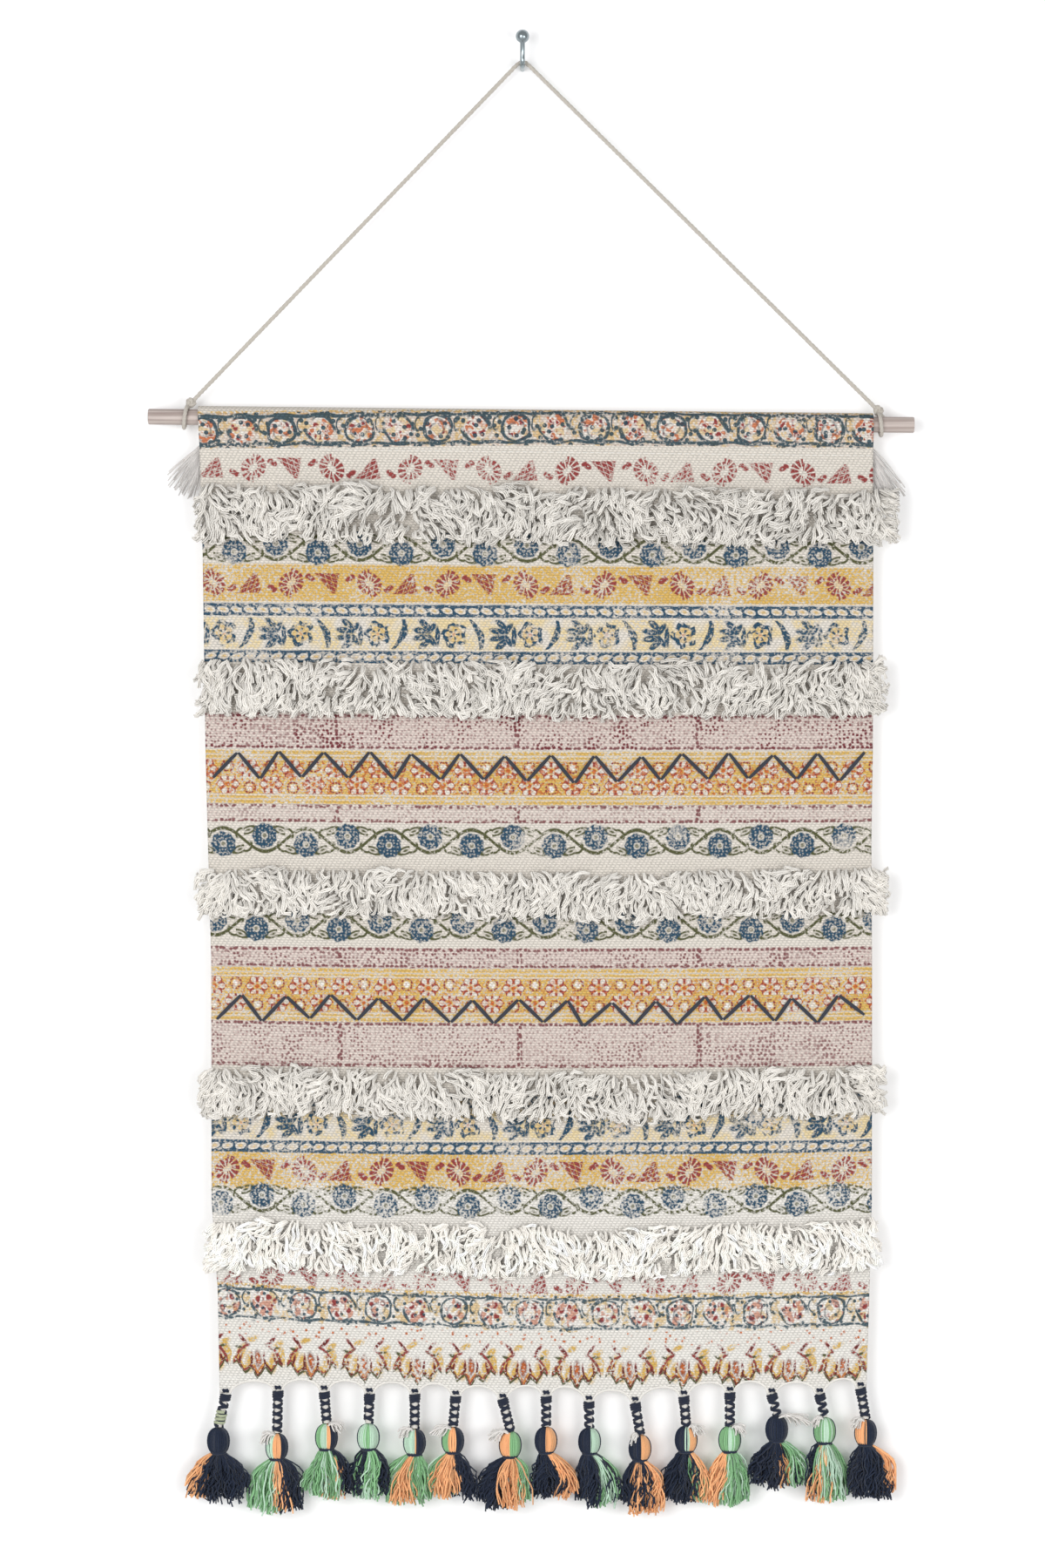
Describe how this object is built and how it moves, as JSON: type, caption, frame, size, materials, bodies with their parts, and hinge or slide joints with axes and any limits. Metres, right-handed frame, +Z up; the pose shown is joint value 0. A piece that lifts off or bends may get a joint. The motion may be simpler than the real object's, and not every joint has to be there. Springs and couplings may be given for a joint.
{
  "type": "textile wall hanging with its rod and wall hook",
  "caption": "Block-printed cotton wall hanging with shag rows and yarn tassels, folded over a wooden rod and hung by a cotton cord from a ball-tipped wall hook.",
  "frame": {"origin": "middle of the hook's flat end where it meets the wall", "axes": "+Z up, +Y into the wall, the printed face towards -Y, +X to the viewer's right"},
  "size_m": [0.6821, 0.0397, 1.3233],
  "materials": {
    "steel": "polished",
    "cord": "twisted cotton",
    "wood": "plain, unvarnished",
    "printed_cotton": "coarse weave, block printed",
    "warp_yarn": "loose cotton ends",
    "shag_yarn": "cut cotton yarn",
    "stem_yarn": "wrapped yarn",
    "tassel_yarn": "soft yarn in three colours"
  },
  "bodies": {
    "root": {"wall_hook": "steel", "hanging_cord": "cord", "cord_loop_left": "cord", "cord_loop_right": "cord", "rod": "wood", "cloth": "printed_cotton", "pocket_fringe": "warp_yarn", "shag_row_1": "shag_yarn", "shag_row_2": "shag_yarn", "shag_row_3": "shag_yarn", "shag_row_4": "shag_yarn", "shag_row_5": "shag_yarn", "stem_01": "stem_yarn", "tassel_01": "tassel_yarn", "stem_02": "stem_yarn", "tassel_02": "tassel_yarn", "stem_03": "stem_yarn", "tassel_03": "tassel_yarn", "stem_04": "stem_yarn", "tassel_04": "tassel_yarn", "stem_05": "stem_yarn", "tassel_05": "tassel_yarn", "stem_06": "stem_yarn", "tassel_06": "tassel_yarn", "stem_07": "stem_yarn", "tassel_07": "tassel_yarn", "stem_08": "stem_yarn", "tassel_08": "tassel_yarn", "stem_09": "stem_yarn", "tassel_09": "tassel_yarn", "stem_10": "stem_yarn", "tassel_10": "tassel_yarn", "stem_11": "stem_yarn", "tassel_11": "tassel_yarn", "stem_12": "stem_yarn", "tassel_12": "tassel_yarn", "stem_13": "stem_yarn", "tassel_13": "tassel_yarn", "stem_14": "stem_yarn", "tassel_14": "tassel_yarn", "stem_15": "stem_yarn", "tassel_15": "tassel_yarn"}
  },
  "joints": []
}
